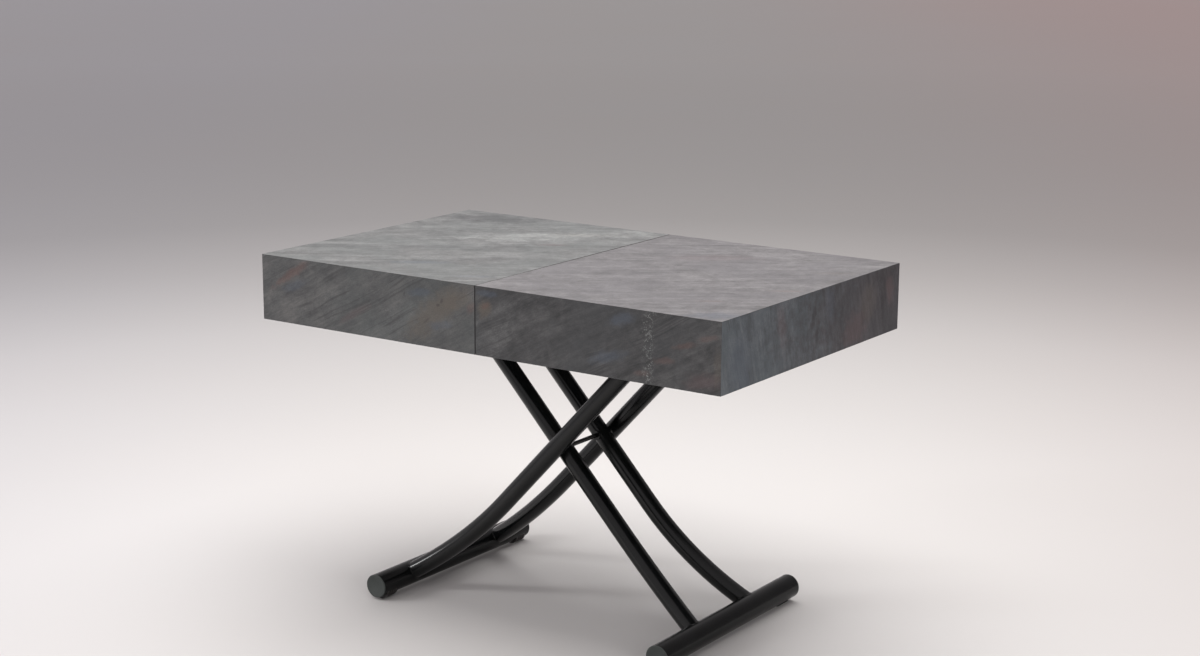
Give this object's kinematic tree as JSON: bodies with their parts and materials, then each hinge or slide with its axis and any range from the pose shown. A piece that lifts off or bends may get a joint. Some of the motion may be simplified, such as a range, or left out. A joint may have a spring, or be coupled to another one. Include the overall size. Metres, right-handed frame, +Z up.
{
  "type": "extendable table",
  "caption": "Height-adjustable extendable table: stone-look box top in sliding halves over stored leaves, on a folding scissor of bent black tubes.",
  "frame": {"origin": "on the floor under the middle of the top, table raised and closed", "axes": "+X along the table's length, +Y to its rear, +Z up"},
  "size_m": [1.2, 0.745, 0.792],
  "materials": {
    "slate_board": "matt stone-look veneer on board",
    "black_steel": "satin black powder coat",
    "platform_steel": "matt dark grey powder coat",
    "bright_steel": "zinc-plated",
    "chromed_rod": "polished",
    "cylinder_paint": "gloss black",
    "cap_plastic": "fine grained",
    "roller_plastic": "matt",
    "pad_rubber": "matt",
    "felt": "felted",
    "beech": "planed"
  },
  "bodies": {
    "platform": {"main_rail_front": "platform_steel", "main_rail_rear": "platform_steel", "side_rail_front": "platform_steel", "side_rail_rear": "platform_steel", "end_cross_tubes": "platform_steel", "middle_cross_tube": "platform_steel", "outriggers": "platform_steel", "pivot_blocks": "platform_steel", "fold_shaft": "bright_steel", "leaf_battens": "beech", "lower_leaf": "slate_board", "leaf_spacers": "felt", "upper_leaf": "slate_board", "spring_bracket": "platform_steel", "release_head": "platform_steel", "gas_rod": "chromed_rod", "left_fixed_runners": "bright_steel", "right_fixed_runners": "bright_steel"},
    "outer_frame": {"outer_leg_front": "black_steel", "outer_leg_rear": "black_steel", "outer_leg_bushes": "black_steel", "outer_leg_plugs": "cap_plastic", "upper_cross_sleeve": "black_steel", "left_foot_tube": "black_steel", "left_foot_caps": "cap_plastic", "roller_carriers": "bright_steel"},
    "inner_frame": {"inner_leg_front": "black_steel", "inner_leg_rear": "black_steel", "inner_leg_bushes": "black_steel", "inner_leg_plugs": "cap_plastic", "pivot_axle": "black_steel", "right_foot_tube": "black_steel", "right_foot_caps": "cap_plastic", "floor_pads": "pad_rubber"},
    "carriage": {"carriage_shaft": "bright_steel", "shaft_spacers": "bright_steel", "drawbars": "platform_steel", "gas_cylinder": "cylinder_paint", "spring_pin": "bright_steel"},
    "front_track_roller": {"track_roller_front": "roller_plastic"},
    "rear_track_roller": {"track_roller_rear": "roller_plastic"},
    "front_floor_roller": {"floor_roller_front": "roller_plastic"},
    "rear_floor_roller": {"floor_roller_rear": "roller_plastic"},
    "release_lever": {"release_lever": "platform_steel"},
    "left_middle_slide": {"left_middle_runners": "bright_steel"},
    "right_middle_slide": {"right_middle_runners": "bright_steel"},
    "left_top": {"left_top_panel": "slate_board", "left_front_apron": "slate_board", "left_rear_apron": "slate_board", "left_end_apron": "slate_board", "left_corner_blocks": "beech", "left_sliding_runners": "bright_steel"},
    "right_top": {"right_top_panel": "slate_board", "right_front_apron": "slate_board", "right_rear_apron": "slate_board", "right_end_apron": "slate_board", "right_corner_blocks": "beech", "right_sliding_runners": "bright_steel", "seam_dowels": "beech"}
  },
  "joints": [
    {"name": "scissor_fold", "type": "hinge", "parent": "platform", "child": "outer_frame", "pos_m": [0.30028, 0, 0.684], "axis": [0, 1, 0], "range_deg": [0, 32]},
    {"name": "scissor_cross", "type": "hinge", "parent": "outer_frame", "child": "inner_frame", "pos_m": [0.014, 0, 0.377], "axis": [0, 1, 0], "range_deg": [-64, 0]},
    {"name": "carriage_pivot", "type": "hinge", "parent": "inner_frame", "child": "carriage", "pos_m": [-0.27228, 0, 0.684], "axis": [0, 1, 0], "range_deg": [0, 32]},
    {"name": "front_track_roller_spin", "type": "hinge", "parent": "carriage", "child": "front_track_roller", "pos_m": [-0.27228, 0, 0.684], "axis": [0, 1, 0], "continuous": true},
    {"name": "rear_track_roller_spin", "type": "hinge", "parent": "carriage", "child": "rear_track_roller", "pos_m": [-0.27228, 0, 0.684], "axis": [0, 1, 0], "continuous": true},
    {"name": "front_floor_roller_spin", "type": "hinge", "parent": "outer_frame", "child": "front_floor_roller", "pos_m": [-0.36516, 0, 0.02], "axis": [0, 1, 0], "continuous": true},
    {"name": "rear_floor_roller_spin", "type": "hinge", "parent": "outer_frame", "child": "rear_floor_roller", "pos_m": [-0.36516, 0, 0.02], "axis": [0, 1, 0], "continuous": true},
    {"name": "left_top_slide", "type": "slide", "parent": "platform", "child": "left_top", "axis": [-1, 0, 0], "range_m": [0, 0.38]},
    {"name": "right_top_slide", "type": "slide", "parent": "platform", "child": "right_top", "axis": [1, 0, 0], "range_m": [0, 0.38]},
    {"name": "left_runner_slide", "type": "slide", "parent": "platform", "child": "left_middle_slide", "axis": [-1, 0, 0], "range_m": [0, 0.19]},
    {"name": "right_runner_slide", "type": "slide", "parent": "platform", "child": "right_middle_slide", "axis": [1, 0, 0], "range_m": [0, 0.19]},
    {"name": "release_lever_swing", "type": "hinge", "parent": "platform", "child": "release_lever", "pos_m": [-0.539, -0.01, 0.6475], "axis": [0, 0, -1], "range_deg": [0, 12], "stiffness_Nm_per_rad": 0.5, "springref_deg": -5.73}
  ],
  "couplings": [
    {"joint": "scissor_cross", "follows": "scissor_fold", "ratio": -2},
    {"joint": "carriage_pivot", "follows": "scissor_fold", "ratio": 1},
    {"joint": "left_runner_slide", "follows": "left_top_slide", "ratio": 0.5},
    {"joint": "right_runner_slide", "follows": "right_top_slide", "ratio": 0.5}
  ]
}
